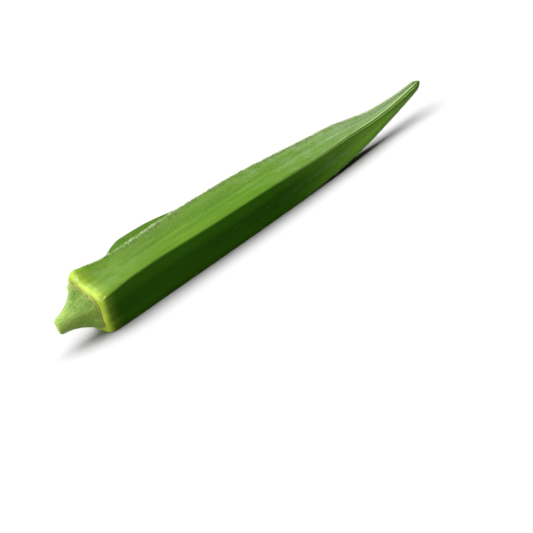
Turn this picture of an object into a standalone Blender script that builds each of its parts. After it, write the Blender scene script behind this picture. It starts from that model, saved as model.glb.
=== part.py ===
"""Okra pod with its stem cap, lying on one of its five flat faces.

The pod runs along X with its tip towards +X. The origin is on the underside, where the
pod balances. The functions below measure x from the seam between stem cap and pod.
"""

import math

import bmesh
import bpy
from mathutils import Vector

MM = 0.001

# Driving dimensions
POD_LENGTH = 113.4 * MM
CAP_LENGTH = 10.7 * MM
SEAM_GAP = 0.3 * MM
SEAM_RADIUS = 6.9 * MM
SEAM_DROP = 0.5 * MM
RIM_RADIUS = 9.5 * MM
SHOULDER_LENGTH = 2.2 * MM
TIP_ROUNDING = 2.4 * MM

# Ridge radius at chosen distances from the seam, behind the rounded shoulder
POD_OUTLINE = (
    (SHOULDER_LENGTH, RIM_RADIUS),
    (12.0 * MM, 8.90 * MM),
    (24.0 * MM, 8.70 * MM),
    (38.0 * MM, 8.50 * MM),
    (55.0 * MM, 7.95 * MM),
    (72.0 * MM, 6.60 * MM),
    (84.0 * MM, 5.30 * MM),
    (95.0 * MM, 3.25 * MM),
    (104.0 * MM, 2.00 * MM),
    (POD_LENGTH, 1.00 * MM),
)

# Radius of the stem cap at chosen distances behind the seam
CAP_OUTLINE = (
    (SEAM_GAP, 6.75 * MM),
    (0.9 * MM, 6.25 * MM),
    (1.9 * MM, 5.40 * MM),
    (3.2 * MM, 4.40 * MM),
    (4.9 * MM, 3.40 * MM),
    (7.2 * MM, 2.55 * MM),
    (CAP_LENGTH, 1.90 * MM),
)

# Cross-section: five ridges, the first one straight up
RIDGE_COUNT = 5
HALF_FACE = math.pi / RIDGE_COUNT
TOP_RIDGE_ANGLE = math.radians(90)
RIM_TWIST = math.radians(6)
RIM_TWIST_LENGTH = 11.0 * MM
TIP_TWIST = math.radians(-5)
TIP_TWIST_START = 50.0 * MM
BODY_SHARPNESS = 34.0
RIM_SHARPNESS = 13.0
SEAM_SHARPNESS = 6.0
TIP_SHARPNESS = 9.0
SOFTER_FROM = 0.6
FACE_DIP = 0.018

# Where the growth is uneven: ridges that stray, a face that swells, flared corners
STRAY_RIDGES = tuple(math.radians(turn) for turn in (10, -4, 0, 0, 15))
STRAY_CENTRE = 18.0 * MM
STRAY_LENGTH = 14.0 * MM
SWELL_HEIGHT = 3.2 * MM
SWELL_RISE = (8.0 * MM, 18.0 * MM)
SWELL_FALL = (24.0 * MM, 52.0 * MM)
SWELL_WIDTH = math.radians(20)
RIDGE_FLARES = (0.9 * MM, 0.1 * MM, -0.2 * MM, 0.0 * MM, -0.4 * MM)
FLARE_LENGTH = 9.0 * MM
FLARE_WIDTH = math.radians(16)
SEAM_LEAN = 0.20
SEAM_YAW = 0.08
LEAN_BEND = 3.0 * MM
LEAN_LENGTH = 14.0 * MM
CAP_DROOP = 0.2 * MM
DROOP_POWER = 1.5
FLARE_FADE_POWER = 4
CUT_SLANT = 0.4

# How the pod lies: the tip curves up from the resting stretch
REST_LENGTH = 50.0 * MM
BALANCE_POINT = 37.7 * MM
TIP_LIFT = 6.8 * MM
TIP_SWAY = -0.8 * MM
CURVE_POWER = 2.6
SETTLING = 0.12 * MM

# Mesh density
POINTS_PER_HALF_FACE = 4
POINT_CROWDING = 1.4
SHOULDER_RINGS = 4
BODY_RINGS = 30
RING_CROWDING = 1.15
TIP_RINGS = 5
CAP_RINGS = 11
CAP_CROWDING = 1.5

# Plain materials: base colour and roughness
POD_GREEN = (0.115, 0.235, 0.035)
POD_ROUGHNESS = 0.45
CAP_GREEN = (0.185, 0.305, 0.075)
CAP_ROUGHNESS = 0.65


def smooth_rise(start, end, value):
    """Go smoothly from 0 at start to 1 at end."""
    share = min(1.0, max(0.0, (value - start) / (end - start)))
    return share * share * (3.0 - 2.0 * share)


def bell(value, width):
    """1 at zero, falling away to both sides."""
    return math.exp(-((value / width) ** 2))


def curve_through(stations, distance):
    """Read a smooth curve that passes through (distance, value) stations."""
    last = len(stations) - 1
    index = 0
    while index < last - 1 and distance > stations[index + 1][0]:
        index += 1

    def slope(at):
        before = stations[max(at - 1, 0)]
        after = stations[min(at + 1, last)]
        return (after[1] - before[1]) / (after[0] - before[0])

    start, start_value = stations[index]
    end, end_value = stations[index + 1]
    span = end - start
    t = min(1.0, max(0.0, (distance - start) / span))
    return (
        (2 * t**3 - 3 * t**2 + 1) * start_value
        + (t**3 - 2 * t**2 + t) * span * slope(index)
        + (3 * t**2 - 2 * t**3) * end_value
        + (t**3 - t**2) * span * slope(index + 1)
    )


def ridge_radius(x):
    """Distance from the pod's axis to the ridges."""
    if x < SHOULDER_LENGTH:
        rise = 1.0 - x / SHOULDER_LENGTH
        return SEAM_RADIUS + (RIM_RADIUS - SEAM_RADIUS) * math.sqrt(1.0 - rise * rise)
    radius = curve_through(POD_OUTLINE, x)
    into_tip = max(0.0, (x - (POD_LENGTH - TIP_ROUNDING)) / TIP_ROUNDING)
    return radius * math.sqrt(max(0.0, 1.0 - into_tip * into_tip))


def sharpness(x):
    """How crisp the ridges are: rounder at the rim and towards the tip."""
    at_rim = 1.0 - smooth_rise(0.0, FLARE_LENGTH, x)
    at_tip = smooth_rise(SOFTER_FROM * POD_LENGTH, POD_LENGTH, x)
    at_seam = 1.0 - smooth_rise(0.0, SHOULDER_LENGTH, x)
    power = BODY_SHARPNESS + (RIM_SHARPNESS - BODY_SHARPNESS) * at_rim
    power += (SEAM_SHARPNESS - power) * at_seam
    return power + (TIP_SHARPNESS - power) * at_tip


def ridge_angle(number, x):
    """Angle of one ridge around the axis, from +Y towards +Z."""
    twist = RIM_TWIST * (1.0 - smooth_rise(0.0, RIM_TWIST_LENGTH, x))
    twist += TIP_TWIST * smooth_rise(TIP_TWIST_START, POD_LENGTH, x)
    stray = STRAY_RIDGES[number % RIDGE_COUNT] * bell(x - STRAY_CENTRE, STRAY_LENGTH)
    return TOP_RIDGE_ANGLE + number * 2 * HALF_FACE + twist + stray


def point_angle(number, offset, x):
    """Angle of a point whose offset counts each half face as the same turn."""
    here = ridge_angle(number, x)
    beside = ridge_angle(number + (1 if offset > 0 else -1), x)
    return here + abs(offset) / (2 * HALF_FACE) * (beside - here)


def five_sided(angle, x):
    """Radius of the rounded five-sided section whose ridge radius is 1."""
    power = sharpness(x)
    total = 0.0
    for face in range(RIDGE_COUNT):
        one = ridge_angle(face, x)
        two = ridge_angle(face + 1, x)
        facing = math.cos(angle - (one + two) / 2) / math.cos((two - one) / 2)
        total += max(0.0, facing) ** power
    return (2.0 / total) ** (1.0 / power)


def face_dip(offset):
    """How far the faces are hollowed between their ridges, as a share of the radius."""
    return FACE_DIP * (1.0 - math.cos(RIDGE_COUNT * offset)) / 2


def uneven_growth(angle, x):
    """Extra radius from the flared corners of the rim and from the swollen face."""
    total = 0.0
    for number, flare in enumerate(RIDGE_FLARES):
        away = math.remainder(angle - ridge_angle(number, x), math.tau)
        total += flare * bell(away, FLARE_WIDTH)
    total *= 1.0 - smooth_rise(0.0, FLARE_LENGTH, x)
    middle = (ridge_angle(-1, x) + ridge_angle(0, x)) / 2
    away = math.remainder(angle - middle, math.tau)
    swell = smooth_rise(*SWELL_RISE, x) * (1.0 - smooth_rise(*SWELL_FALL, x))
    return total + SWELL_HEIGHT * swell * bell(away, SWELL_WIDTH)


def leaning(up, sideways):
    """How far back the slanted seam lies; only its upper half leans, and it is yawed."""
    return SEAM_LEAN * (up + math.hypot(up, LEAN_BEND) - LEAN_BEND) / 2 - SEAM_YAW * sideways


def axis_point(x):
    """A point of the pod's axis, which keeps the underside on the rest plane."""
    flat = math.cos(HALF_FACE) * 2.0 ** (1.0 / sharpness(x)) - face_dip(HALF_FACE)
    apothem = curve_through(POD_OUTLINE, x) * flat
    drop = SEAM_DROP * (1.0 - smooth_rise(0.0, SHOULDER_LENGTH, x))
    curve = max(0.0, (x - REST_LENGTH) / (POD_LENGTH - REST_LENGTH)) ** CURVE_POWER
    return Vector((x, TIP_SWAY * curve, apothem - SETTLING - drop + TIP_LIFT * curve))


def around_the_pod():
    """Give each point's ridge number and its offset from that ridge."""
    for number in range(RIDGE_COUNT):
        for step in range(1 - POINTS_PER_HALF_FACE, POINTS_PER_HALF_FACE + 1):
            share = abs(step) / POINTS_PER_HALF_FACE
            yield number, math.copysign(HALF_FACE * share**POINT_CROWDING, step)


def pod_ring(x):
    """Points around the pod at one distance from the seam."""
    centre = axis_point(x)
    lean = 1.0 - smooth_rise(0.0, LEAN_LENGTH, x)
    ring = []
    for number, offset in around_the_pod():
        angle = point_angle(number, offset, x)
        radius = ridge_radius(x) * (five_sided(angle, x) - face_dip(offset))
        radius += uneven_growth(angle, x) * min(1.0, ridge_radius(x) / RIM_RADIUS)
        up = radius * math.sin(angle)
        sideways = radius * math.cos(angle)
        point = centre + Vector((-lean * leaning(up, sideways), sideways, up))
        point.z = max(0.0, point.z)
        ring.append(point)
    return ring


def cap_centre(back):
    """Centre of the stem cap at one distance behind the seam."""
    droop = CAP_DROOP * (back / CAP_LENGTH) ** DROOP_POWER
    return axis_point(0.0) - Vector((back - cut_slant(back, 0.0), 0.0, droop))


def cut_slant(back, sideways):
    """How far the slanted cut brings a point of the stalk towards the seam."""
    stalk_radius = CAP_OUTLINE[-1][1]
    near_cut = smooth_rise(CAP_LENGTH / 2, CAP_LENGTH, back)
    return CUT_SLANT * near_cut * (sideways + stalk_radius)


def cap_ring(back):
    """Points around the stem cap, five-sided at the seam and round at the stalk."""
    centre = cap_centre(back)
    fade = 1.0 - smooth_rise(0.0, CAP_LENGTH, back)
    ring = []
    for number, offset in around_the_pod():
        angle = point_angle(number, offset, 0.0)
        section = five_sided(angle, 0.0) - face_dip(offset)
        radius = curve_through(CAP_OUTLINE, back) * (1.0 + (section - 1.0) * fade)
        radius += uneven_growth(angle, 0.0) * fade**FLARE_FADE_POWER
        up = radius * math.sin(angle)
        sideways = radius * math.cos(angle)
        shift = cut_slant(back, sideways) - cut_slant(back, 0.0) - fade * leaning(up, sideways)
        ring.append(centre + Vector((shift, sideways, up)))
    return ring


def loft(name, rings, start, end, material):
    """Skin a row of rings and close each end on its centre point."""
    mesh = bpy.data.meshes.new(name)
    bm = bmesh.new()
    loops = [[bm.verts.new(point) for point in ring] for ring in rings]
    count = len(rings[0])
    for one, two in zip(loops, loops[1:]):
        for index in range(count):
            after = (index + 1) % count
            bm.faces.new((one[index], one[after], two[after], two[index]))
    for loop, centre in ((loops[0], start), (loops[-1], end)):
        middle = bm.verts.new(centre)
        for index in range(count):
            bm.faces.new((loop[index], loop[(index + 1) % count], middle))
    bmesh.ops.recalc_face_normals(bm, faces=bm.faces)
    for face in bm.faces:
        face.smooth = True
    bm.to_mesh(mesh)
    bm.free()
    mesh.materials.append(material)
    part = bpy.data.objects.new(name, mesh)
    part.location.x = -BALANCE_POINT
    bpy.context.collection.objects.link(part)
    return part


def plain_material(name, colour, roughness):
    """A Principled material with one colour and one roughness."""
    material = bpy.data.materials.new(name)
    material.use_nodes = True
    shader = material.node_tree.nodes["Principled BSDF"]
    shader.inputs["Base Color"].default_value = (*colour, 1.0)
    shader.inputs["Roughness"].default_value = roughness
    shader.inputs["Metallic"].default_value = 0.0
    return material


def pod_stations():
    """Distances from the seam where the pod gets a ring."""
    shoulder = []
    for step in range(SHOULDER_RINGS):
        shoulder.append(SHOULDER_LENGTH * (1.0 - math.cos(math.pi / 2 * step / SHOULDER_RINGS)))
    tip_start = POD_LENGTH - TIP_ROUNDING
    body = []
    for step in range(BODY_RINGS):
        share = step / BODY_RINGS
        body.append(SHOULDER_LENGTH + (tip_start - SHOULDER_LENGTH) * share**RING_CROWDING)
    tip = []
    for step in range(TIP_RINGS):
        tip.append(tip_start + TIP_ROUNDING * math.sin(math.pi / 2 * step / TIP_RINGS))
    return shoulder + body + tip


def build_pod():
    """The ribbed seed pod, from its swollen rim to its curved tip."""
    rings = [pod_ring(x) for x in pod_stations()]
    green = plain_material("pod_green", POD_GREEN, POD_ROUGHNESS)
    return loft("pod", rings, axis_point(0.0), axis_point(POD_LENGTH), green)


def build_stem_cap():
    """The flared cap behind the seam, with its short cut stalk."""
    rings = []
    for step in range(CAP_RINGS):
        share = (step / (CAP_RINGS - 1)) ** CAP_CROWDING
        rings.append(cap_ring(SEAM_GAP + (CAP_LENGTH - SEAM_GAP) * share))
    green = plain_material("stem_cap_green", CAP_GREEN, CAP_ROUGHNESS)
    return loft("stem_cap", rings, cap_centre(SEAM_GAP), cap_centre(CAP_LENGTH), green)


def main():
    """Clear the scene and build the okra pod."""
    for thing in list(bpy.data.objects):
        bpy.data.objects.remove(thing, do_unlink=True)
    build_pod()
    build_stem_cap()


main()
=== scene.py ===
"""Okra pod: the finished looks of one fresh pod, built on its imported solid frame.

The pod runs along X with its tip towards +X, and lies on Z = 0. The shape functions
measure distance from the seam between stem cap and pod, in metres.
"""

import math

import bpy
import numpy as np
from mathutils import Matrix, Vector, noise


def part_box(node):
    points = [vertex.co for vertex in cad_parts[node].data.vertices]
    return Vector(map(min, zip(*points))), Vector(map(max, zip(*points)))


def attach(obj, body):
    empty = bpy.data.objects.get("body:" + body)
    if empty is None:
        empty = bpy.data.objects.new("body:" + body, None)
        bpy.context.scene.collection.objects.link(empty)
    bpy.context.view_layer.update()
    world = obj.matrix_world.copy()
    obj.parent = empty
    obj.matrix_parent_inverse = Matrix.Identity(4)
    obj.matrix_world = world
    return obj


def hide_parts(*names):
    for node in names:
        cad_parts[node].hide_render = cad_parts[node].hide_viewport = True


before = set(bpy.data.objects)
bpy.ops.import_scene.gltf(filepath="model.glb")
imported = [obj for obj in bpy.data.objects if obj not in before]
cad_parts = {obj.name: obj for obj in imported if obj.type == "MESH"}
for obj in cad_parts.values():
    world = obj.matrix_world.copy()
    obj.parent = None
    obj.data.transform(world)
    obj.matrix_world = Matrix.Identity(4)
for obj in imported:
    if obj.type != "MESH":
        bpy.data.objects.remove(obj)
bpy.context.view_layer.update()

bl_info = {
    "name": "Okra Pod",
    "version": (1, 0, 0),
    "blender": (4, 5, 0),
    "location": "3D View > Sidebar > Okra",
    "description": "Builds a fresh okra pod with its rim, scar, stem cap and down",
    "category": "Add Mesh",
}

MM = 0.001
POD_LOW, POD_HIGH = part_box("pod")
CAP_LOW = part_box("stem_cap")[0]

# Lengths along the pod, placed by the frame
CAP_LENGTH = 10.7 * MM
SEAM_X = CAP_LOW.x + CAP_LENGTH
POD_LENGTH = POD_HIGH.x - SEAM_X

SEAM_GAP = 0.3 * MM
SEAM_RADIUS = 6.9 * MM
SEAM_DROP = 0.5 * MM
RIM_RADIUS = 9.5 * MM
SHOULDER_LENGTH = 2.2 * MM
TIP_ROUNDING = 2.4 * MM

# Ridge radius at chosen distances from the seam, behind the rounded shoulder
POD_OUTLINE = (
    (SHOULDER_LENGTH, RIM_RADIUS),
    (12.0 * MM, 8.90 * MM),
    (24.0 * MM, 8.70 * MM),
    (38.0 * MM, 8.50 * MM),
    (55.0 * MM, 7.95 * MM),
    (72.0 * MM, 6.60 * MM),
    (84.0 * MM, 5.30 * MM),
    (95.0 * MM, 3.25 * MM),
    (104.0 * MM, 2.00 * MM),
    (POD_LENGTH, 1.00 * MM),
)

# Radius of the stem cap at chosen distances behind the seam
CAP_OUTLINE = (
    (SEAM_GAP, 6.75 * MM),
    (0.9 * MM, 6.25 * MM),
    (1.9 * MM, 5.40 * MM),
    (3.2 * MM, 4.40 * MM),
    (4.9 * MM, 3.40 * MM),
    (7.2 * MM, 2.55 * MM),
    (CAP_LENGTH, 1.90 * MM),
)

# Cross-section: five ridges, the first one straight up
RIDGE_COUNT = 5
HALF_FACE = math.pi / RIDGE_COUNT
TOP_RIDGE_ANGLE = math.radians(90)
RIM_TWIST = math.radians(6)
RIM_TWIST_LENGTH = 11.0 * MM
TIP_TWIST = math.radians(-5)
TIP_TWIST_START = 50.0 * MM
BODY_SHARPNESS = 34.0
RIM_SHARPNESS = 13.0
SEAM_SHARPNESS = 6.0
TIP_SHARPNESS = 9.0
SOFTER_FROM = 0.6
FACE_DIP = 0.018

# Where the growth is uneven: ridges that stray, a face that swells, flared corners
STRAY_RIDGES = np.radians((10, -4, 0, 0, 15))
STRAY_CENTRE = 18.0 * MM
STRAY_LENGTH = 14.0 * MM
SWELL_HEIGHT = 3.2 * MM
SWELL_RISE = (8.0 * MM, 18.0 * MM)
SWELL_FALL = (24.0 * MM, 52.0 * MM)
SWELL_WIDTH = math.radians(20)
RIDGE_FLARES = (0.9 * MM, 0.1 * MM, -0.2 * MM, 0.0 * MM, -0.4 * MM)
FLARE_LENGTH = 9.0 * MM
FLARE_WIDTH = math.radians(16)
SEAM_LEAN = 0.20
SEAM_YAW = 0.08
LEAN_BEND = 3.0 * MM
LEAN_LENGTH = 14.0 * MM
CAP_DROOP = 0.2 * MM
DROOP_POWER = 1.5
FLARE_FADE_POWER = 4
CUT_SLANT = 0.4
CUT_ROUNDING = 0.45 * MM
CUT_EDGE_DROP = 0.35 * MM

# How the pod lies: the tip curves up from the resting stretch
REST_LENGTH = 50.0 * MM
TIP_LIFT = 6.8 * MM
TIP_SWAY = -0.8 * MM
CURVE_POWER = 2.6
SETTLING = 0.12 * MM

# Fine relief of the skins: how high it is, and its cell size along each axis
POD_GRAIN = (
    (0.10 * MM, (16 * MM, 6 * MM, 6 * MM)),
    (0.030 * MM, (22 * MM, 1.0 * MM, 1.0 * MM)),
    (0.016 * MM, (7 * MM, 0.5 * MM, 0.5 * MM)),
)
CAP_GRAIN = (
    (0.05 * MM, (1.8 * MM, 0.6 * MM, 0.6 * MM)),
    (0.025 * MM, (0.5 * MM, 0.35 * MM, 0.35 * MM)),
)
CAP_LUMPS = (0.16 * MM, (5 * MM, 2.2 * MM, 2.2 * MM))
RIM_FOLDS = (0.10 * MM, (9 * MM, 0.8 * MM, 0.8 * MM))
RIDGE_KNOTS = (0.07 * MM, (0.75 * MM, 3 * MM, 3 * MM))

# How far the seam wanders, read from noise on a circle of radius 1
SEAM_WAVE = (0.22 * MM, (0.45, 0.45, 1.0))
SEAM_WAVE_HEIGHT = 4.0

# Towards the tip, each ridge has a groove between two raised lines
BEAK_SHARE = (0.45, 0.85)
RIDGE_LINE = 0.34 * MM

# Mesh density
POINTS_PER_HALF_FACE = 18
POINT_CROWDING = 1.2
SHOULDER_RINGS = 16
BODY_RINGS = 450
TIP_RINGS = 14
CAP_RINGS = 110
CAP_CROWDING = 1.2
CUT_RINGS = 12
SCAR_SIDES = 8

# Painted shade: tone of each face, from the one after the top ridge onwards: 0 deep green for the
# faces that lie in shade, 1 pale for the lit faces, 2 a duller green painted on the swollen face
FACE_SHADE_TONES = np.array((1.0, 0.0, 0.1, 0.9, 2.0))
TONE_EDGE = 0.35 * MM

# How frosted with down the skin is at each ridge; on the pale faces it also sets how much painted
# sheen they get, and where it is low they get painted shade
RIDGE_FROST = np.array((1.0, 0.05, 0.15, 0.35, 0.6))

# How near the ground, and how far past the sides of the pod, a hair may reach
HAIR_CLEARANCE = 0.3 * MM
HAIR_REACH = 0.4 * MM

# How the hairs are planted
HAIR_ROOT_DEPTH = 0.03 * MM
HAIRS_PER_TUFT = 5
HAIR_SEED = 7

# Lights: name, where the light comes from, how many degrees wide, how strong
SKY_LIGHTS = (
    ("soft_sky", (-0.10, 0.12, 1.0), 85.0, 15.2),
    ("side_light", (-1.0, -0.05, 0.22), 24.0, 2.6),
)
ROOM_LIGHT = 0.12


# -------- shape functions


def between(start, end, share):
    """The value at a share of the way from start to end."""
    return start + (end - start) * share


def smooth_rise(start, end, value):
    """Go smoothly from 0 at start to 1 at end."""
    share = np.clip((value - start) / (end - start), 0.0, 1.0)
    return share * share * (3.0 - 2.0 * share)


def bell(value, width):
    """1 at zero, falling away to both sides."""
    return np.exp(-((value / width) ** 2))


def curve_through(stations, distance):
    """Read a smooth curve that passes through (distance, value) stations."""
    at, value = np.array(stations).T
    slope = np.empty_like(value)
    slope[1:-1] = (value[2:] - value[:-2]) / (at[2:] - at[:-2])
    slope[0] = (value[1] - value[0]) / (at[1] - at[0])
    slope[-1] = (value[-1] - value[-2]) / (at[-1] - at[-2])
    index = np.clip(np.searchsorted(at, distance) - 1, 0, len(at) - 2)
    span = at[index + 1] - at[index]
    t = np.clip((distance - at[index]) / span, 0.0, 1.0)
    return (
        (2 * t**3 - 3 * t**2 + 1) * value[index]
        + (t**3 - 2 * t**2 + t) * span * slope[index]
        + (3 * t**2 - 2 * t**3) * value[index + 1]
        + (t**3 - t**2) * span * slope[index + 1]
    )


def ridge_radius(x):
    """Distance from the pod's axis to the ridges."""
    rise = np.clip(1.0 - x / SHOULDER_LENGTH, 0.0, 1.0)
    shoulder = between(SEAM_RADIUS, RIM_RADIUS, np.sqrt(1.0 - rise * rise))
    into_tip = np.clip((x - (POD_LENGTH - TIP_ROUNDING)) / TIP_ROUNDING, 0.0, 1.0)
    body = curve_through(POD_OUTLINE, x) * np.sqrt(1.0 - into_tip * into_tip)
    return np.where(x < SHOULDER_LENGTH, shoulder, body)


def sharpness(x):
    """How crisp the ridges are: rounder at the rim and towards the tip."""
    at_rim = 1.0 - smooth_rise(0.0, FLARE_LENGTH, x)
    at_tip = smooth_rise(SOFTER_FROM * POD_LENGTH, POD_LENGTH, x)
    at_seam = 1.0 - smooth_rise(0.0, SHOULDER_LENGTH, x)
    power = between(BODY_SHARPNESS, RIM_SHARPNESS, at_rim)
    power = between(power, SEAM_SHARPNESS, at_seam)
    return between(power, TIP_SHARPNESS, at_tip)


def ridge_angle(number, x):
    """Angle of one ridge around the axis, from +Y towards +Z."""
    twist = RIM_TWIST * (1.0 - smooth_rise(0.0, RIM_TWIST_LENGTH, x))
    twist = twist + TIP_TWIST * smooth_rise(TIP_TWIST_START, POD_LENGTH, x)
    stray = STRAY_RIDGES[number % RIDGE_COUNT] * bell(x - STRAY_CENTRE, STRAY_LENGTH)
    return TOP_RIDGE_ANGLE + number * 2 * HALF_FACE + twist + stray


def point_angle(number, offset, x):
    """Angle of a point whose offset counts each half face as the same turn."""
    here = ridge_angle(number, x)
    beside = ridge_angle(number + np.where(offset > 0, 1, -1), x)
    return here + np.abs(offset) / (2 * HALF_FACE) * (beside - here)


def five_sided(angle, x):
    """Radius of the rounded five-sided section whose ridge radius is 1."""
    power = sharpness(x)
    total = 0.0
    for face in range(RIDGE_COUNT):
        one = ridge_angle(face, x)
        two = ridge_angle(face + 1, x)
        facing = np.cos(angle - (one + two) / 2) / np.cos((two - one) / 2)
        total = total + np.maximum(0.0, facing) ** power
    return (2.0 / total) ** (1.0 / power)


def face_dip(offset):
    """How far the faces are hollowed between their ridges, as a share of the radius."""
    return FACE_DIP * (1.0 - np.cos(RIDGE_COUNT * offset)) / 2


def turn_between(angle, other):
    """The shorter turn from one angle to another."""
    turns = (angle - other) / math.tau
    return (turns - np.round(turns)) * math.tau


def uneven_growth(angle, x):
    """Extra radius from the flared corners of the rim and from the swollen face."""
    total = 0.0
    for number, flare in enumerate(RIDGE_FLARES):
        away = turn_between(angle, ridge_angle(number, x))
        total = total + flare * bell(away, FLARE_WIDTH)
    total = total * (1.0 - smooth_rise(0.0, FLARE_LENGTH, x))
    middle = (ridge_angle(-1, x) + ridge_angle(0, x)) / 2
    swell = bell(turn_between(angle, middle), SWELL_WIDTH)
    swell = swell * smooth_rise(*SWELL_RISE, x) * (1.0 - smooth_rise(*SWELL_FALL, x))
    return total + SWELL_HEIGHT * swell


def leaning(angle, radius):
    """How far back the slanted seam lies; only its upper half leans, and it is yawed."""
    up = radius * np.sin(angle)
    sideways = radius * np.cos(angle)
    return SEAM_LEAN * (up + np.hypot(up, LEAN_BEND) - LEAN_BEND) / 2 - SEAM_YAW * sideways


def axis_point(x):
    """Points of the pod's axis, as rows of X, Y and Z in the frame."""
    flat = math.cos(HALF_FACE) * 2.0 ** (1.0 / sharpness(x)) - face_dip(HALF_FACE)
    apothem = curve_through(POD_OUTLINE, x) * flat
    drop = SEAM_DROP * (1.0 - smooth_rise(0.0, SHOULDER_LENGTH, x))
    share = np.clip((x - REST_LENGTH) / (POD_LENGTH - REST_LENGTH), 0.0, 1.0)
    curve = share**CURVE_POWER
    height = apothem - SETTLING - drop + TIP_LIFT * curve
    return np.stack([SEAM_X + x, TIP_SWAY * curve, height], -1)


def grain(points, stretch):
    """Smooth noise from -1 to 1, with one cell size for each axis."""
    cells = points / np.array(stretch)
    return np.array([noise.noise(cell) for cell in cells.reshape(-1, 3)]).reshape(points.shape[:-1])


def relief_of(points, layer):
    """Relief from one layer, which has a height and cell sizes."""
    height, cells = layer
    return height * grain(points, cells)


def around():
    """Ridge numbers and offsets from the ridge, once around a section."""
    steps = np.arange(1 - POINTS_PER_HALF_FACE, POINTS_PER_HALF_FACE + 1)
    share = np.abs(steps) / POINTS_PER_HALF_FACE
    offsets = np.sign(steps) * HALF_FACE * share**POINT_CROWDING
    return np.repeat(np.arange(RIDGE_COUNT), len(steps)), np.tile(offsets, RIDGE_COUNT)


def seam_wave(angle):
    """How far the seam wanders along the pod around its girth."""
    height = np.full_like(angle, SEAM_WAVE_HEIGHT)
    circle = np.stack([np.cos(angle), np.sin(angle), height], -1)
    return relief_of(circle, SEAM_WAVE)


def outward_of(angle):
    """Directions that point straight away from the axis."""
    return np.stack([np.zeros_like(angle), np.cos(angle), np.sin(angle)], -1)


def pod_relief(plain, x, from_ridge, from_middle):
    """Fine relief of the pod's skin: ridges, a crease along each face, knots, rim folds."""
    along = x / POD_LENGTH
    beak = smooth_rise(*BEAK_SHARE, along)
    fine = sum(relief_of(plain, layer) for layer in POD_GRAIN)
    crest = 0.09 * MM * bell(from_ridge, 0.42 * MM) * (1.0 - 0.4 * beak)
    lines = 0.10 * MM * beak * bell(from_ridge - RIDGE_LINE, 0.20 * MM)
    groove = 0.14 * MM * beak * bell(from_ridge, 0.17 * MM)
    crease = 0.07 * MM * bell(from_middle, 0.5 * MM) * smooth_rise(0.05, 0.2, along)
    bank = 0.05 * MM * beak * bell(from_middle - 0.5 * MM, 0.22 * MM)
    knots = np.maximum(0.0, relief_of(plain, RIDGE_KNOTS)) * bell(from_ridge, 0.55 * MM)
    folds = relief_of(plain, RIM_FOLDS) * (1.0 - smooth_rise(1.0 * MM, 8.0 * MM, x))
    return fine + crest + lines - groove - crease + bank + knots + folds


def pod_surface(x, number, offset):
    """Points on the pod's skin, and what its finish needs to know about them."""
    angle = point_angle(number, offset, x)
    girth = ridge_radius(x)
    radius = girth * (five_sided(angle, x) - face_dip(offset))
    radius = radius + uneven_growth(angle, x) * np.minimum(1.0, girth / RIM_RADIUS)
    outward = outward_of(angle)
    plain = axis_point(x) + radius[..., None] * outward

    from_ridge = np.abs(offset) * girth
    from_middle = (HALF_FACE - np.abs(offset)) * girth
    open_skin = smooth_rise(0.0, 1.2 * MM, girth) * smooth_rise(0.0, 2.0 * MM, x)
    relief = pod_relief(plain, x, from_ridge, from_middle)

    lean = (1.0 - smooth_rise(0.0, LEAN_LENGTH, x)) * leaning(angle, radius)
    points = plain + (relief * open_skin)[..., None] * outward
    points[..., 0] += seam_wave(angle) * (1.0 - smooth_rise(0.0, 5.0 * MM, x)) - lean
    points[..., 2] = np.maximum(points[..., 2], 0.0)
    marks = {
        "seam_mm": x / MM,
        "ridge_mm": from_ridge / MM,
        "middle_mm": from_middle / MM,
        "along": x / POD_LENGTH,
        "tone": face_shade_tone(number, offset * girth),
        "frost": frost(number, offset),
    }
    return points, marks


def face_shade_tone(number, across):
    """Painted shade: how far each face is painted as lit rather than shaded, changing quickly from
    face to face over a ridge.
    """
    share = smooth_rise(-TONE_EDGE, TONE_EDGE, across)
    return between(FACE_SHADE_TONES[number - 1], FACE_SHADE_TONES[number], share)


def frost(number, offset):
    """How frosted the skin is, shading evenly from one ridge to the next."""
    share = np.abs(offset) / (2 * HALF_FACE)
    beside = (number + np.where(offset > 0, 1, -1)) % RIDGE_COUNT
    return between(RIDGE_FROST[number], RIDGE_FROST[beside], share)


def cap_surface(back, number, offset):
    """Points on the stem cap's skin, five-sided at the seam and round at the stalk."""
    angle = point_angle(number, offset, 0.0)
    fade = 1.0 - smooth_rise(0.0, CAP_LENGTH, back)
    section = 1.0 + (five_sided(angle, 0.0) - face_dip(offset) - 1.0) * fade
    radius = curve_through(CAP_OUTLINE, back) * section
    radius = radius + uneven_growth(angle, 0.0) * fade**FLARE_FADE_POWER
    into_end = np.clip((back - (CAP_LENGTH - CUT_ROUNDING)) / CUT_ROUNDING, 0.0, 1.0)
    radius = radius - CUT_EDGE_DROP * (1.0 - np.sqrt(1.0 - into_end * into_end))
    outward = outward_of(angle)
    plain = cap_centre(back) + radius[..., None] * outward

    relief = relief_of(plain, CAP_LUMPS) * (0.35 + radius / SEAM_RADIUS)
    relief += sum(relief_of(plain, layer) for layer in CAP_GRAIN)
    relief = relief * smooth_rise(0.0, 0.5 * MM, back - SEAM_GAP)
    points = plain + relief[..., None] * outward
    points[..., 0] += seam_wave(angle) * fade**FLARE_FADE_POWER - fade * leaning(angle, radius)
    points[..., 0] += cut_slant(back, radius * np.cos(angle)) - cut_slant(back, 0.0)
    marks = {
        "back_mm": back / MM,
        "ridge_mm": np.abs(offset) * radius / MM,
        "tone": face_shade_tone(number, offset * radius * 0.5),
    }
    return points, marks


def cap_centre(back):
    """Centre of the stem cap at chosen distances behind the seam."""
    droop = CAP_DROOP * (back / CAP_LENGTH) ** DROOP_POWER
    start = axis_point(np.zeros_like(back))
    return start - np.stack([back - cut_slant(back, 0.0), np.zeros_like(back), droop], -1)


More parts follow.
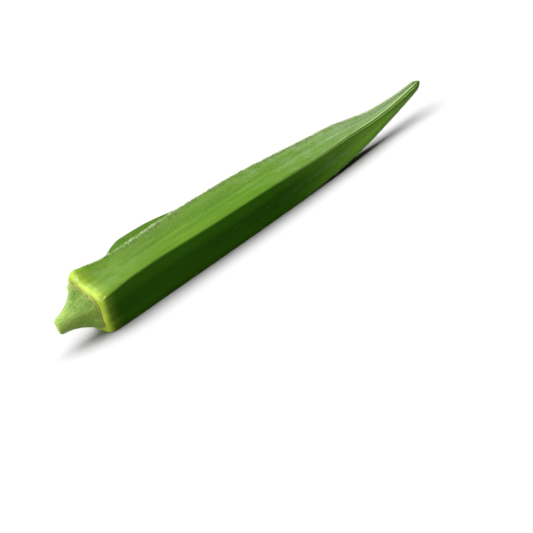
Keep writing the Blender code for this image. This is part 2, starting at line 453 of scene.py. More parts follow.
def cut_slant(back, sideways):
    """How far the slanted cut brings a point of the stalk towards the seam."""
    stalk_radius = CAP_OUTLINE[-1][1]
    near_cut = smooth_rise(CAP_LENGTH / 2, CAP_LENGTH, back)
    return CUT_SLANT * near_cut * (sideways + stalk_radius)


def rings_on(surface, distances):
    """Rings of points on a surface, one for each distance, with their marks."""
    number, offset = around()
    distance, number = np.meshgrid(distances, number, indexing="ij")
    return surface(distance, number, np.broadcast_to(offset, distance.shape))


# -------- mesh helpers


def add_piece(name, points, faces, material, marks=None):
    """Make a smooth mesh piece, store its marks on its points, and hang it on the frame."""
    mesh = bpy.data.meshes.new(name)
    mesh.from_pydata(points.reshape(-1, 3).tolist(), [], faces)
    mesh.validate()
    mesh.shade_smooth()
    for mark, values in (marks or {}).items():
        layer = mesh.attributes.new(mark, "FLOAT", "POINT")
        layer.data.foreach_set("value", np.asarray(values, np.float32).ravel())
    mesh.materials.append(material)
    piece = bpy.data.objects.new(name, mesh)
    bpy.context.collection.objects.link(piece)
    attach(piece, "root")
    return piece


def tube_faces(rings, count, joined=False):
    """Quads that skin rings of points; the last ring can be joined to the first."""
    faces = []
    for ring in range(rings if joined else rings - 1):
        low = ring * count
        high = (ring + 1) % rings * count
        for index in range(count):
            after = (index + 1) % count
            faces.append((low + index, low + after, high + after, high + index))
    return faces


def end_fans(rings, count):
    """Triangles that close a tube on two centre points stored after its rings."""
    first_centre = rings * count
    last_centre = first_centre + 1
    last = (rings - 1) * count
    faces = []
    for index in range(count):
        after = (index + 1) % count
        faces.append((after, index, first_centre))
        faces.append((last + index, last + after, last_centre))
    return faces


def skin_tube(name, points, marks, start, end, material, flip=False):
    """Turn rings of points and two end points into a closed tube."""
    rings, count = points.shape[:2]
    everything = np.vstack([points.reshape(-1, 3), start, end])
    closed = {}
    for mark, values in marks.items():
        closed[mark] = np.concatenate([values.ravel(), [values[0, 0], values[-1, 0]]])
    faces = tube_faces(rings, count) + end_fans(rings, count)
    if flip:
        faces = [face[::-1] for face in faces]
    return add_piece(name, everything, faces, material, closed)


# -------- shader helpers


class Wire:
    """A shader socket that takes part in Python arithmetic."""

    def __init__(self, graph, socket):
        self.graph = graph
        self.socket = socket

    def math(self, operation, *values):
        """Add a Math node that works on the given wires and numbers."""
        return self.graph.node("ShaderNodeMath", {"operation": operation}, dict(enumerate(values)))

    def __add__(self, other):
        return self.math("ADD", self, other)

    def __radd__(self, other):
        return self.math("ADD", other, self)

    def __sub__(self, other):
        return self.math("SUBTRACT", self, other)

    def __rsub__(self, other):
        return self.math("SUBTRACT", other, self)

    def __mul__(self, other):
        return self.math("MULTIPLY", self, other)

    def __rmul__(self, other):
        return self.math("MULTIPLY", other, self)

    def __abs__(self):
        return self.math("ABSOLUTE", self)


class Graph:
    """A material's node tree, with the few moves that the finishes below share."""

    def __init__(self, name):
        self.material = bpy.data.materials.new(name)
        self.material.use_nodes = True
        self.tree = self.material.node_tree
        self.shader = self.tree.nodes["Principled BSDF"]

    def node(self, kind, settings=None, inputs=None, output=0):
        """Add one node: its settings first, then its sockets, and return an output."""
        made = self.tree.nodes.new(kind)
        for key, value in (settings or {}).items():
            setattr(made, key, value)
        for key, value in (inputs or {}).items():
            self.plug(made.inputs[key], value)
        return Wire(self, made.outputs[output])

    def plug(self, socket, value):
        """Link a wire to a socket, or set the socket to a plain value."""
        if isinstance(value, Wire):
            self.tree.links.new(value.socket, socket)
        else:
            socket.default_value = value

    def finish(self, **sockets):
        """Set the main shader's sockets by name, with _ for each space."""
        for key, value in sockets.items():
            self.plug(self.shader.inputs[key.replace("_", " ")], value)
        return self.material

    def mark(self, name):
        """A number stored on the mesh's points."""
        return self.node("ShaderNodeAttribute", {"attribute_name": name}, output="Fac")

    def place(self, cells):
        """Position on the piece, divided by one cell size for each axis."""
        here = self.node("ShaderNodeTexCoord", output="Object")
        scale = tuple(1.0 / cell for cell in cells)
        return self.node("ShaderNodeVectorMath", {"operation": "MULTIPLY"}, {0: here, 1: scale})

    def noise(self, cells, detail, roughness=0.5):
        """Soft noise from 0 to 1 with the given cell sizes in metres."""
        place = self.place(cells)
        inputs = {"Vector": place, "Scale": 1.0, "Detail": detail, "Roughness": roughness}
        return self.node("ShaderNodeTexNoise", None, inputs)

    def dots(self, cell, size):
        """Round dots scattered over the surface, about one in each cell."""
        inputs = {"Vector": self.place((cell,) * 3), "Scale": 1.0}
        distance = self.node("ShaderNodeTexVoronoi", None, inputs, "Distance")
        return self.ease(distance, size, size * 0.45)

    def ease(self, value, start, end):
        """Go smoothly from 0 at start to 1 at end."""
        settings = {"interpolation_type": "SMOOTHSTEP"}
        inputs = {"Value": value, "From Min": min(start, end), "From Max": max(start, end)}
        if start > end:
            inputs.update({"To Min": 1.0, "To Max": 0.0})
        return self.node("ShaderNodeMapRange", settings, inputs)

    def blend(self, amount, under, over):
        """Lay one colour over another by an amount from 0 to 1."""
        under = under if isinstance(under, Wire) else (*under, 1.0)
        over = over if isinstance(over, Wire) else (*over, 1.0)
        settings = {"data_type": "RGBA", "clamp_factor": True}
        return self.node("ShaderNodeMix", settings, {0: amount, 6: under, 7: over}, 2)

    def bump(self, height, distance, strength=1.0):
        """Small relief for the Normal socket, from a height between 0 and 1."""
        inputs = {"Height": height, "Distance": distance, "Strength": strength}
        return self.node("ShaderNodeBump", None, inputs)


def colour_property(name, description, default):
    """A colour setting with a swatch."""
    return bpy.props.FloatVectorProperty(
        name=name, description=description, default=default, subtype="COLOR", size=3, min=0, max=1
    )


def length_property(name, description, default):
    """A small length."""
    return bpy.props.FloatProperty(
        name=name,
        description=description,
        default=default,
        min=0,
        precision=5,
        unit="LENGTH",
        subtype="DISTANCE",
    )


# -------- settings


class OkraSkinSettings(bpy.types.PropertyGroup):
    """Colours of the pod's skin."""

    leaf: colour_property("Leaf Green", "Main colour of the pale faces", (0.043, 0.089, 0.0050))
    # Painted shade: a darker green painted over the swollen face
    dull: colour_property("Dull Green", "Main colour of the swollen face", (0.020, 0.046, 0.0018))
    # Painted shade: darker, more saturated green for the deep faces, which lie in shade; the leaf
    # green is their lit copy
    painted_shade_green: colour_property("Shady Green", "Main colour of the deep faces", (0.018, 0.077, 0.0005))
    # Painted shade: darker green in the middle of each deep face
    hollow_shade: colour_property("Hollow Green", "Middle of the deep faces", (0.010, 0.045, 0.0003))
    # Darker streaks, also used as painted shade near the less frosted ridges of the pale faces and
    # in the grooves at the tip
    deep: colour_property("Deep Green", "Darker streaks", (0.026, 0.070, 0.0020))
    light: colour_property("Light Green", "Lighter streaks", (0.070, 0.130, 0.013))
    # Also the colour of the painted sheen on the pale faces
    bloom: colour_property("Bloom", "Pale velvet on the tip half", (0.145, 0.170, 0.130))
    # Painted light: lifts the deep faces' painted shade to a brighter green towards the tip
    shade_lifted_green: colour_property("Young Green", "Deep faces near the tip", (0.150, 0.350, 0.026))
    # Painted light: the rim's copy for the deep faces, brighter than the lit copy below to make up
    # for their shade
    rim: colour_property("Rim", "Swollen rim on the deep faces", (0.170, 0.250, 0.012))
    rim_sunlit: colour_property("Sunlit Rim", "Rim on the pale faces", (0.130, 0.192, 0.012))
    # Partly painted highlight: the paler lip, brightened to stand in for the gloss on the rim's
    # shoulder
    rim_lip_and_highlight: colour_property("Rim Edge", "Lip of the rim", (0.290, 0.370, 0.064))
    # Pale ridge lines, and the colour of the painted highlight spots on the rim
    glint_and_line: colour_property("Rim Shine", "Waxy spots and ridge lines", (0.320, 0.370, 0.200))


class OkraCapSettings(bpy.types.PropertyGroup):
    """Colours of the stem cap and its scar."""

    skin: colour_property("Cap Skin", "Main colour of the cap", (0.090, 0.155, 0.018))
    # Painted light: a lighter green for the cap's shaded underside
    under: colour_property("Cap Underside", "Fresher green below", (0.135, 0.235, 0.022))
    pale: colour_property("Cap Speckle", "Pale downy speckles", (0.260, 0.320, 0.120))
    # Random darker patches, and painted shade on the cap's lit upper faces
    dark: colour_property("Cap Shadow", "Darker hollows", (0.050, 0.100, 0.008))
    stalk: colour_property("Stalk", "Colour near the cut", (0.190, 0.270, 0.045))
    scar: colour_property("Scar", "Thin corky line at the seam", (0.160, 0.130, 0.040))
    cut: colour_property("Cut Face", "Pale pith of the cut stalk", (0.260, 0.280, 0.120))


class OkraDownSettings(bpy.types.PropertyGroup):
    """Size and number of the fine hairs."""

    ridge_hairs: bpy.props.IntProperty(
        name="Ridge Hairs", description="Hairs along all ridges", default=6500, min=0
    )
    face_hairs: bpy.props.IntProperty(
        name="Face Hairs", description="Hairs on the faces", default=9000, min=0
    )
    cap_hairs: bpy.props.IntProperty(
        name="Cap Hairs", description="Hairs on the stem cap", default=3000, min=0
    )
    ridge_shares: bpy.props.FloatVectorProperty(
        name="Ridge Shares",
        description="Share of the ridge hairs on each ridge, from the top one onwards",
        default=(0.54, 0.0, 0.08, 0.16, 0.22),
        size=RIDGE_COUNT,
        min=0.0,
    )
    length: length_property("Hair Length", "Length of the longest hairs", 0.90 * MM)
    thickness: length_property("Hair Thickness", "Thickness of a hair at its root", 0.070 * MM)
    colour: colour_property("Hair Colour", "Colour of the hairs", (0.180, 0.225, 0.105))


# -------- finishes


class PodSkin(Graph):
    """The pod's finish, laid on in steps that share their marks and noises."""

    def __init__(self, colours):
        super().__init__("okra_skin")
        self.colours = colours
        self.seam = self.mark("seam_mm")
        self.ridge = self.mark("ridge_mm")
        self.middle = self.mark("middle_mm")
        self.along = self.mark("along")
        self.frosted = self.mark("frost")
        # Painted shade: tone is 1 on the lit pale faces and 0 on the deep faces that lie in shade
        self.tone = self.ease(self.mark("tone"), 0.0, 1.0)
        # Painted shade: the swollen face's mask, where the darker green is painted
        swollen = self.ease(self.mark("tone"), 1.0, 2.0)
        self.dull = swollen * self.ease(self.ridge, 0.4, 1.3)
        self.beak = self.ease(self.along, 0.50, 0.85)
        self.broad = self.noise((40 * MM, 4.6 * MM, 4.6 * MM), 2.0)
        self.fibre = self.noise((24 * MM, 1.1 * MM, 1.1 * MM), 3.0)
        self.thread = self.noise((10 * MM, 0.36 * MM, 0.36 * MM), 2.0)
        self.mottle = self.noise((3.4 * MM, 2.2 * MM, 2.2 * MM), 4.0, 0.6)
        self.fine = self.noise((0.42 * MM, 0.30 * MM, 0.30 * MM), 2.0)
        across = (self.mottle - 0.5) * 0.6 + (self.fibre - 0.5) * 0.4
        self.velvet = self.ease(self.along + self.tone * 0.06 + across, 0.52, 0.92)
        self.narrow = self.seam + (1 - self.tone) * 0.9

    def greens(self):
        """Green of each face, with painted shade on the deep faces, on the swollen face and in the
        middle of each deep face, painted light lifting the deep faces towards the tip, streaks and
        grit.
        """
        colours, tone, beak, dull = self.colours, self.tone, self.beak, self.dull
        # Painted shade on the deep faces, lifted to a brighter green towards the tip as painted
        # light; the lit faces take the leaf green
        colour = self.blend(beak * 0.85, colours.painted_shade_green, colours.shade_lifted_green)
        colour = self.blend(tone, colour, colours.leaf)
        # Painted shade over the swollen face
        colour = self.blend(dull, colour, colours.dull)
        colour = self.blend(self.ease(self.broad, 0.58, 0.34) * 0.50, colour, colours.deep)
        streaks = self.ease(self.fibre, 0.42, 0.76) * 0.34
        streaks = streaks + self.ease(self.thread, 0.50, 0.80) * 0.12
        streaks = streaks + self.ease(self.mottle, 0.52, 0.78) * 0.16
        # Painted light: the lighter streaks show fully on the lit faces, and on the deep faces only
        # towards the tip
        lit_share = tone + beak * 0.35 * (1 - tone)
        streaks = streaks * (0.10 + 0.90 * lit_share) * (1 - dull * 0.6)
        colour = self.blend(streaks, colour, colours.light)
        colour = self.blend(self.ease(self.mottle, 0.46, 0.24) * 0.20 * tone, colour, colours.deep)
        # Painted shade darkening the middle of each deep face
        hollow_shade = self.ease(self.middle + (self.fibre - 0.5) * 1.6, 3.6, 1.4)
        colour = self.blend(hollow_shade * (1 - tone) * (1 - beak) * 0.65, colour, colours.hollow_shade)
        edge_shade = (1 - self.frosted) * tone * (1 - beak) * self.ease(self.seam, 22.0, 45.0)
        colour = self.blend(edge_shade * 0.50, colour, colours.deep)
        grit = self.ease(self.fine, 0.50, 0.25) * (0.16 + 0.14 * beak)
        return self.blend(grit, colour, colours.deep)

    def downy_bloom(self, colour):
        """Pale velvet towards the tip, frosted ridges, painted sheen on the lit faces and a pale
        line along each face.
        """
        bloom, tone, frosted = self.colours.bloom, self.tone, self.frosted
        nap = self.velvet * (0.35 + 0.65 * self.ease(self.fine, 0.35, 0.65))
        patch = self.ease(self.ridge + (self.mottle - 0.5) * 3.0, 1.6, 3.2) * (1 - tone)
        # Painted sheen: a whitish velvet layer on the lit faces, strongest near the most frosted
        # ridges; on the deep faces, real pale velvet patches
        down_and_sheen = (0.29 + frosted * frosted * 0.19) * tone + patch * 0.30
        colour = self.blend(nap * (0.02 + down_and_sheen), colour, bloom)
        # Pale specks of down painted on the lit faces only: partly real down, partly painted sheen
        dust_and_sheen = self.ease(self.fine, 0.40, 0.62) * frosted * frosted
        dust_and_sheen = dust_and_sheen * self.ease(self.seam, 6.0, 20.0) * tone * (1 - self.dull)
        colour = self.blend(dust_and_sheen * 0.18, colour, bloom)
        suture = self.ease(self.middle, 0.80, 0.10) * self.ease(self.along, 0.45, 0.80)
        return self.blend(suture * (0.05 + 0.09 * tone), colour, bloom)

    def ridge_lines(self, colour):
        """Pale lines on both sides of each ridge; towards the tip, painted light beside the ridge
        on the deep faces and painted shade darkening the groove between the lines.
        """
        line = self.ease(abs(self.ridge - self.beak * (RIDGE_LINE / MM)), 0.30, 0.08)
        colour = self.blend(line * (0.02 + 0.26 * self.beak), colour, self.colours.glint_and_line)
        # Painted light: on the deep faces towards the tip, a lighter green beside the ridge
        crest = self.ease(self.ridge, 1.3, 0.5) * self.beak * (1 - self.tone)
        colour = self.blend(crest * 0.70, colour, self.colours.light)
        # Painted shade darkening the groove between the ridge lines at the tip
        groove = self.ease(self.ridge, 0.22, 0.05) * self.beak
        return self.blend(groove * 0.65, colour, self.colours.deep)

    def paler_shoulder(self, colour):
        """Lighter patches on the pale faces near the rim."""
        ragged = self.seam + (self.fibre - 0.5) * 20.0 + (self.mottle - 0.5) * 12.0
        patch = self.ease(ragged, 24.0, 6.0) * self.tone * (1 - self.dull)
        patch = patch * (0.3 + 0.7 * self.ease(self.mottle, 0.40, 0.62))
        patch = patch * (0.30 + 1.05 * self.ease(self.ridge, 0.6, 3.2))
        colour = self.blend(patch * 0.32, colour, self.colours.light)
        return self.blend(patch * 0.08, colour, self.colours.bloom)

    def yellow_rim(self, colour):
        """Yellow-green rim with a ragged border, lit and shaded copies of its yellow, a paler lip
        that is partly painted highlight, and small painted highlight spots on the lit faces.
        """
        colours, tone, narrow = self.colours, self.tone, self.narrow
        # Lit and shaded copies of the rim's yellow: the copy on the deep faces is painted brighter
        # against their shade
        yellow = self.blend(tone, colours.rim, colours.rim_sunlit)
        ragged = narrow + (self.fibre - 0.5) * 4.0 + (self.broad - 0.5) * 2.5
        colour = self.blend(self.ease(ragged, 6.0, 1.5) * 0.45, colour, yellow)
        colour = self.blend(self.ease(narrow + (self.fibre - 0.5) * 3.4, 3.0, 1.2), colour, yellow)
        # The paler lip, painted stronger on the lit faces: partly the lip's own colour, partly
        # painted highlight
        lip = self.ease(self.seam + (self.thread - 0.5) * 1.2, 1.5, 0.3) * (0.35 + 0.40 * tone)
        lip = lip * (0.35 + 0.65 * self.ease(self.noise((2.6 * MM,) * 3, 2.0), 0.38, 0.58))
        lip = lip * (1 - 0.5 * self.ease(self.frosted, 0.75, 1.0))
        colour = self.blend(lip, colour, colours.rim_lip_and_highlight)
        # Painted highlight: small glints on the rim of the lit faces
        painted_glint = self.ease(self.noise((1.7 * MM,) * 3, 1.0), 0.54, 0.68)
        painted_glint = painted_glint * self.ease(narrow, 2.8, 1.6) * self.ease(self.seam, 0.3, 0.9) * tone
        return self.blend(painted_glint * 0.55, colour, colours.glint_and_line)


def pod_finish(colours):
    """Green skin: soft long streaks, pale lit faces and deep faces in painted shade, yellow rim,
    bloom at the tip.
    """
    g = PodSkin(colours)
    colour = g.ridge_lines(g.downy_bloom(g.greens()))
    colour = g.yellow_rim(g.paler_shoulder(colour))
    speck = g.dots(0.85 * MM, 0.17) * g.ease(g.noise((1.9 * MM,) * 3, 1.0), 0.46, 0.60)
    colour = g.blend(speck * g.ease(g.seam, 3.0, 8.0) * 0.45, colour, colours.bloom)
    colour = g.blend(g.ease(g.along, 0.970, 0.995) * 0.8, colour, colours.deep)
    height = g.fibre * 0.35 + g.thread * 0.20 + g.fine * 0.30 + speck * 0.35
    wax = g.ease(g.narrow, 4.5, 1.5) * (0.05 + 0.22 * g.ease(g.thread, 0.45, 0.62))
    return g.finish(
        Base_Color=colour,
        Roughness=0.52 - g.ease(g.seam, 6.0, 1.5) * 0.16 + g.velvet * 0.12 + (g.fine - 0.5) * 0.16,
        Normal=g.bump(height, 0.06 * MM, 0.8),
        Coat_Weight=wax,
        Coat_Roughness=0.24,
        Specular_IOR_Level=0.02,
        Subsurface_Weight=0.06,
        Subsurface_Radius=(0.6, 1.0, 0.25),
        Subsurface_Scale=0.8 * MM,
    )


def cap_finish(colours):
    """Dull grey-green downy skin, speckled, yellower towards the cut stalk, with painted shade on
    its lit upper faces and painted light on its shaded underside.
    """
    g = Graph("okra_cap_skin")
    back = g.mark("back_mm")
    ridge = g.mark("ridge_mm")
    tone = g.ease(g.mark("tone"), 0.0, 1.0)
    lumps = g.noise((3.0 * MM, 1.6 * MM, 1.6 * MM), 3.0)
    fibre = g.noise((4.0 * MM, 0.5 * MM, 0.5 * MM), 3.0)
    fine = g.noise((0.38 * MM,) * 3, 3.0, 0.6)
    freckle = g.dots(0.70 * MM, 0.26)

    colour = g.blend(g.ease(lumps, 0.34, 0.66), colours.dark, colours.skin)
    colour = g.blend(g.ease(fibre, 0.50, 0.78) * 0.30, colour, colours.pale)
    colour = g.blend(g.ease(fine, 0.48, 0.66) * 0.55, colour, colours.pale)
    colour = g.blend(g.ease(fine, 0.48, 0.30) * 0.55, colour, colours.dark)
    colour = g.blend(freckle * 0.75, colour, colours.pale)
    colour = g.blend(g.ease(ridge, 1.4, 0.2) * 0.20, colour, colours.pale)
    # Painted shade on the lit upper faces and painted light on the shaded underside
    colour = g.blend(tone * 0.42, colour, colours.dark)
    colour = g.blend((1 - tone) * (1 - freckle) * 0.50, colour, colours.under)
    stalkward = g.ease(back + (lumps - 0.5) * 3.0, 3.8, 8.0)
    colour = g.blend(stalkward * (0.85 - 0.50 * tone), colour, colours.stalk)
    corky = g.ease(back + (lumps - 0.5) * 1.6, 1.0, 0.35)
    colour = g.blend(corky * 0.25, colour, colours.scar)

    height = lumps * 0.25 + fibre * 0.30 + fine * 0.45 + freckle * 0.25
    return g.finish(
        Base_Color=colour,
        Roughness=0.68 + (fine - 0.5) * 0.2,
        Normal=g.bump(height, 0.10 * MM),
        Specular_IOR_Level=0.08,
    )


def scar_finish(colours):
    """Dry brown line, from tan to nearly black."""
    g = Graph("okra_scar")
    patch = g.noise((1.6 * MM,) * 3, 3.0)
    fine = g.noise((0.25 * MM,) * 3, 2.0)
    tan = (0.220, 0.200, 0.045)
    burnt = (0.045, 0.018, 0.004)
    colour = g.blend(g.ease(patch, 0.34, 0.48), colours.scar, tan)
    colour = g.blend(g.ease(patch, 0.43, 0.35), colour, burnt)
    return g.finish(
        Base_Color=colour,
        Roughness=0.75 + (fine - 0.5) * 0.2,
        Normal=g.bump(fine, 0.05 * MM),
    )


def cut_finish(colours):
    """Pale pith inside a greener ring, with dry fibres."""
    g = Graph("okra_cut_stalk")
    ring = g.mark("ring")
    fine = g.noise((0.16 * MM,) * 3, 3.0)
    spots = g.dots(0.30 * MM, 0.30)
    green = (0.130, 0.190, 0.040)
    dry = (0.170, 0.130, 0.050)
    colour = g.blend(g.ease(ring, 0.62, 0.86), colours.cut, green)
    colour = g.blend(g.ease(ring, 0.30, 0.10) * 0.5, colour, (0.36, 0.36, 0.22))
    colour = g.blend(spots * g.ease(ring, 0.35, 0.55) * 0.4, colour, dry)
    colour = g.blend(g.ease(fine, 0.56, 0.78) * 0.5, colour, dry)
    return g.finish(
        Base_Color=colour,
        Roughness=0.70 + (fine - 0.5) * 0.2,
        Normal=g.bump(fine + spots * 0.5, 0.06 * MM),
    )


def hair_finish(colour):
    """Pale hair, greener at its root, with a faint painted glow."""
    g = Graph("okra_down")
    height = g.mark("height")
    green = (0.11, 0.18, 0.05)
    shade = g.blend(g.ease(height, 0.0, 0.5), green, tuple(colour))
    return g.finish(
        Base_Color=shade,
        Roughness=0.5,
        # Painted light: the hairs glow faintly, so they never fall dark
        Emission_Color=shade,
        Emission_Strength=0.4,
    )


def floor_finish():
    """Plain pale matt surface."""
    g = Graph("studio_floor")
    soft = g.noise((60 * MM,) * 3, 2.0)
    colour = g.blend(soft, (0.200, 0.200, 0.200), (0.205, 0.205, 0.205))
    return g.finish(Base_Color=colour, Roughness=0.9, Specular_IOR_Level=0.1)


def wall_finish():
    """Plain wall that always looks as bright as the lit floor."""
    g = Graph("studio_wall")
    return g.finish(
        Base_Color=(0.0, 0.0, 0.0, 1.0),
        Specular_IOR_Level=0.0,
        Emission_Color=(1.0, 1.0, 1.0, 1.0),
        Emission_Strength=0.92,
    )


# -------- fine hairs


def unit(vectors):
    """The same directions with length 1."""
    return vectors / np.maximum(np.linalg.norm(vectors, axis=1, keepdims=True), 1e-12)


def grow_hairs(name, roots, direction, lengths, thickness, material):
    """Make one mesh of thin three-sided hairs that stand on their root points."""
    count = len(roots)
    side = unit(np.cross(direction, np.array([0.31, 0.87, 0.38])))
    other = np.cross(direction, side)
    buried = roots - direction * HAIR_ROOT_DEPTH
    corners = []
    for turn in range(3):
        angle = turn * math.tau / 3
        around_hair = math.cos(angle) * side + math.sin(angle) * other
        corners.append(buried + around_hair * thickness / 2)
    tips = roots + direction * lengths[:, None]
    points = np.stack([*corners, tips], 1)
    one_hair = np.array([(0, 2, 1), (0, 1, 3), (1, 2, 3), (2, 0, 3)])
    faces = (one_hair + 4 * np.arange(count)[:, None, None]).reshape(-1, 3).tolist()
    marks = {"height": np.tile([0.0, 0.0, 0.0, 1.0], count)}
    piece = add_piece(name, points, faces, material, marks)
    add_hair_map(piece, count)
    return piece


def add_hair_map(piece, count):
    """Lay the hairs out side by side, root at the bottom and tip at the top."""
    columns = 97
    stride = 31
    layer = piece.data.uv_layers.new(name="OFBake")
    across = (np.arange(count) * stride % columns + 0.5) / columns
    loops = np.zeros(len(piece.data.loops), np.int64)
    piece.data.loops.foreach_get("vertex_index", loops)
    corner = loops % 4
    shift = np.array([-0.4, 0.4, 0.0, 0.0])[corner] / columns
    height = np.array([0.05, 0.05, 0.12, 0.95])[corner]
    flat = np.stack([across[loops // 4] + shift, height], 1)
    layer.uv.foreach_set("vector", flat.astype(np.float32).ravel())


def skin_normals(surface, first, number, offset):
    """Root points on a surface and the directions that point straight out of it."""
    step = 0.05 * MM
    turn = 0.01
    points = surface(first, number, offset)[0]
    ahead = surface(first + step, number, offset)[0] - points
    beside = surface(first, number, offset + turn)[0] - points
    outward = unit(np.cross(ahead, beside))
    if surface is pod_surface:
        centre = axis_point(np.clip(first, 0.0, POD_LENGTH))
    else:
        centre = cap_centre(first)
    facing = np.einsum("ij,ij->i", outward, points - centre)
    return points, outward * np.where(facing < 0, -1.0, 1.0)[:, None]


def rooted_hairs(surface, first, number, offset, lean, lengths):
    """Roots, directions and lengths, without hairs that touch the ground or reach too far."""
    roots, outward = skin_normals(surface, first, number, offset)
    direction = unit(outward + lean)
    tips = roots + direction * lengths[:, None]
    clear = np.minimum(roots[:, 2], tips[:, 2]) > HAIR_CLEARANCE
    inside = (tips[:, 1] > POD_LOW.y - HAIR_REACH) & (tips[:, 1] < POD_HIGH.y + HAIR_REACH)
    return [values[clear & inside] for values in (roots, direction, lengths)]


def sow_ridges(down, rng):
    """Tufts along the ridges, leaning to one side or the other."""
    tufts = down.ridge_hairs // HAIRS_PER_TUFT
    first = between(4.0 * MM, POD_LENGTH - 1.5 * MM, rng.random(tufts))
    shares = np.array(down.ridge_shares)
    number = rng.choice(RIDGE_COUNT, tufts, p=shares / shares.sum())
    side = rng.choice([-1.0, 1.0], tufts)
    first, number, side = (np.repeat(values, HAIRS_PER_TUFT) for values in (first, number, side))
    count = len(first)
    first = first + rng.normal(0.0, 0.10 * MM, count)
    offset = rng.normal(0.0, 0.34 * MM, count) / ridge_radius(first)
    angle = point_angle(number, offset, first)
    sideways = np.stack([np.zeros(count), -np.sin(angle), np.cos(angle)], -1)
    lean = rng.normal(0.0, 0.25, (count, 3)) + 1.1 * side[:, None] * sideways
    lean[:, 0] += 0.6
    return first, number, offset, lean, down.length * (0.4 + 0.6 * rng.random(count))


def sow_faces(down, rng):
    """Shorter hairs that lie along the faces, thicker towards the tip."""
    count = down.face_hairs
    share = rng.random(count) ** 0.8
    first = between(6.0 * MM, POD_LENGTH - 1.5 * MM, share)
    number = rng.integers(0, RIDGE_COUNT, count)
    offset = rng.uniform(-HALF_FACE, HALF_FACE, count)
    lean = rng.normal(0.0, 0.4, (count, 3))
    lean[:, 0] += 1.6
    lengths = down.length * 0.4 * (0.4 + 0.6 * rng.random(count))
    wanted = 0.03 + 0.5 * frost(number, offset) ** 2 + 0.4 * smooth_rise(0.6, 0.9, share)
    chosen = rng.random(count) < wanted
    return [values[chosen] for values in (first, number, offset, lean, lengths)]


def sow_cap(down, rng):
    """A short nap over the stem cap."""
    count = down.cap_hairs
    first = between(0.8 * MM, CAP_LENGTH - 0.5 * MM, rng.random(count))
    number = rng.integers(0, RIDGE_COUNT, count)
    offset = rng.uniform(-HALF_FACE, HALF_FACE, count)
    lean = rng.normal(0.0, 0.6, (count, 3))
    return first, number, offset, lean, down.length * 0.35 * (0.4 + 0.6 * rng.random(count))


# -------- operators


class OKRA_OT_pod_skin(bpy.types.Operator):
    """Build the pod's ribbed skin from rim to tip"""

    bl_idname = "okra.pod_skin"
    bl_label = "Pod Skin"

    def execute(self, context):
        tip_start = POD_LENGTH - TIP_ROUNDING
        turn = np.linspace(0.0, math.pi / 2, SHOULDER_RINGS, endpoint=False)
        shoulder = SHOULDER_LENGTH * (1.0 - np.cos(turn))
        body = np.linspace(SHOULDER_LENGTH, tip_start, BODY_RINGS, endpoint=False)
        turn = np.linspace(0.0, math.pi / 2, TIP_RINGS, endpoint=False)
        tip = tip_start + TIP_ROUNDING * np.sin(turn)
        points, marks = rings_on(pod_surface, np.concatenate([shoulder, body, tip]))
        ends = axis_point(np.array([0.0, POD_LENGTH]))
        finish = pod_finish(context.scene.okra_skin)
        skin = skin_tube("pod_skin", points, marks, ends[0], ends[1], finish)
        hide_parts("pod")
        return {"FINISHED"}


class OKRA_OT_stem_cap(bpy.types.Operator):
    """Build the flared stem cap, its scar line and its cut stalk"""

    bl_idname = "okra.stem_cap"
    bl_label = "Stem Cap"

    def execute(self, context):
        colours = context.scene.okra_cap
        share = np.linspace(0.0, 1.0, CAP_RINGS) ** CAP_CROWDING
        points, marks = rings_on(cap_surface, between(SEAM_GAP, CAP_LENGTH, share))
        ends = cap_centre(np.array([SEAM_GAP, CAP_LENGTH]))
        cap = skin_tube("cap_skin", points, marks, ends[0], ends[1], cap_finish(colours), True)
        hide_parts("stem_cap")
        self.cut_face(points[-1], ends[1], cut_finish(colours))
        self.scar(scar_finish(colours))
        return {"FINISHED"}

    def cut_face(self, edge, centre, finish):
        """A slightly domed, rough disc over the cut end of the stalk."""
        stands_out = 0.02 * MM
        dome_height = 0.16 * MM
        depth = np.array([0.15 * MM, 0.0, 0.0])
        roughness = (0.06 * MM, (0.4 * MM,) * 3)
        shares = 1.0 - np.arange(CUT_RINGS) / CUT_RINGS
        levels = [centre + (edge - centre) * 0.9 + depth]
        for share in shares:
            level = centre + (edge - centre) * share * 0.985
            dome = dome_height * (1.0 - share * share)
            level[:, 0] -= stands_out + dome + relief_of(level, roughness)
            levels.append(level)
        top = centre - np.array([stands_out + dome_height, 0.0, 0.0])
        ring = np.array([1.0, *shares])
        marks = {"ring": np.repeat(ring[:, None], len(edge), axis=1)}
        piece = skin_tube("cut_stalk", np.stack(levels), marks, centre + depth, top, finish, True)

    def scar(self, finish):
        """A thin uneven bead that fills the seam between cap and rim."""
        sunk = 0.08 * MM
        half_thickness = 0.16 * MM
        unevenness = (0.09 * MM, (1.0 * MM,) * 3)
        number, offset = around()
        angle = point_angle(number, offset, 0.0)
        radius = (SEAM_RADIUS - sunk) * (five_sided(angle, 0.0) - face_dip(offset))
        radius = radius + uneven_growth(angle, 0.0)
        outward = outward_of(angle)
        centre = axis_point(np.zeros_like(angle)) + radius[:, None] * outward
        centre[:, 0] += seam_wave(angle) - leaning(angle, radius) - SEAM_GAP / 2
        thick = (half_thickness + relief_of(centre, unevenness))[:, None]
        forward = np.array([1.0, 0.0, 0.0])
        bead = []
        for side in range(SCAR_SIDES):
            turn = side * math.tau / SCAR_SIDES
            bead.append(centre + thick * (math.cos(turn) * forward + math.sin(turn) * outward))
        faces = tube_faces(SCAR_SIDES, len(angle), joined=True)
        piece = add_piece("scar_line", np.stack(bead), faces, finish)


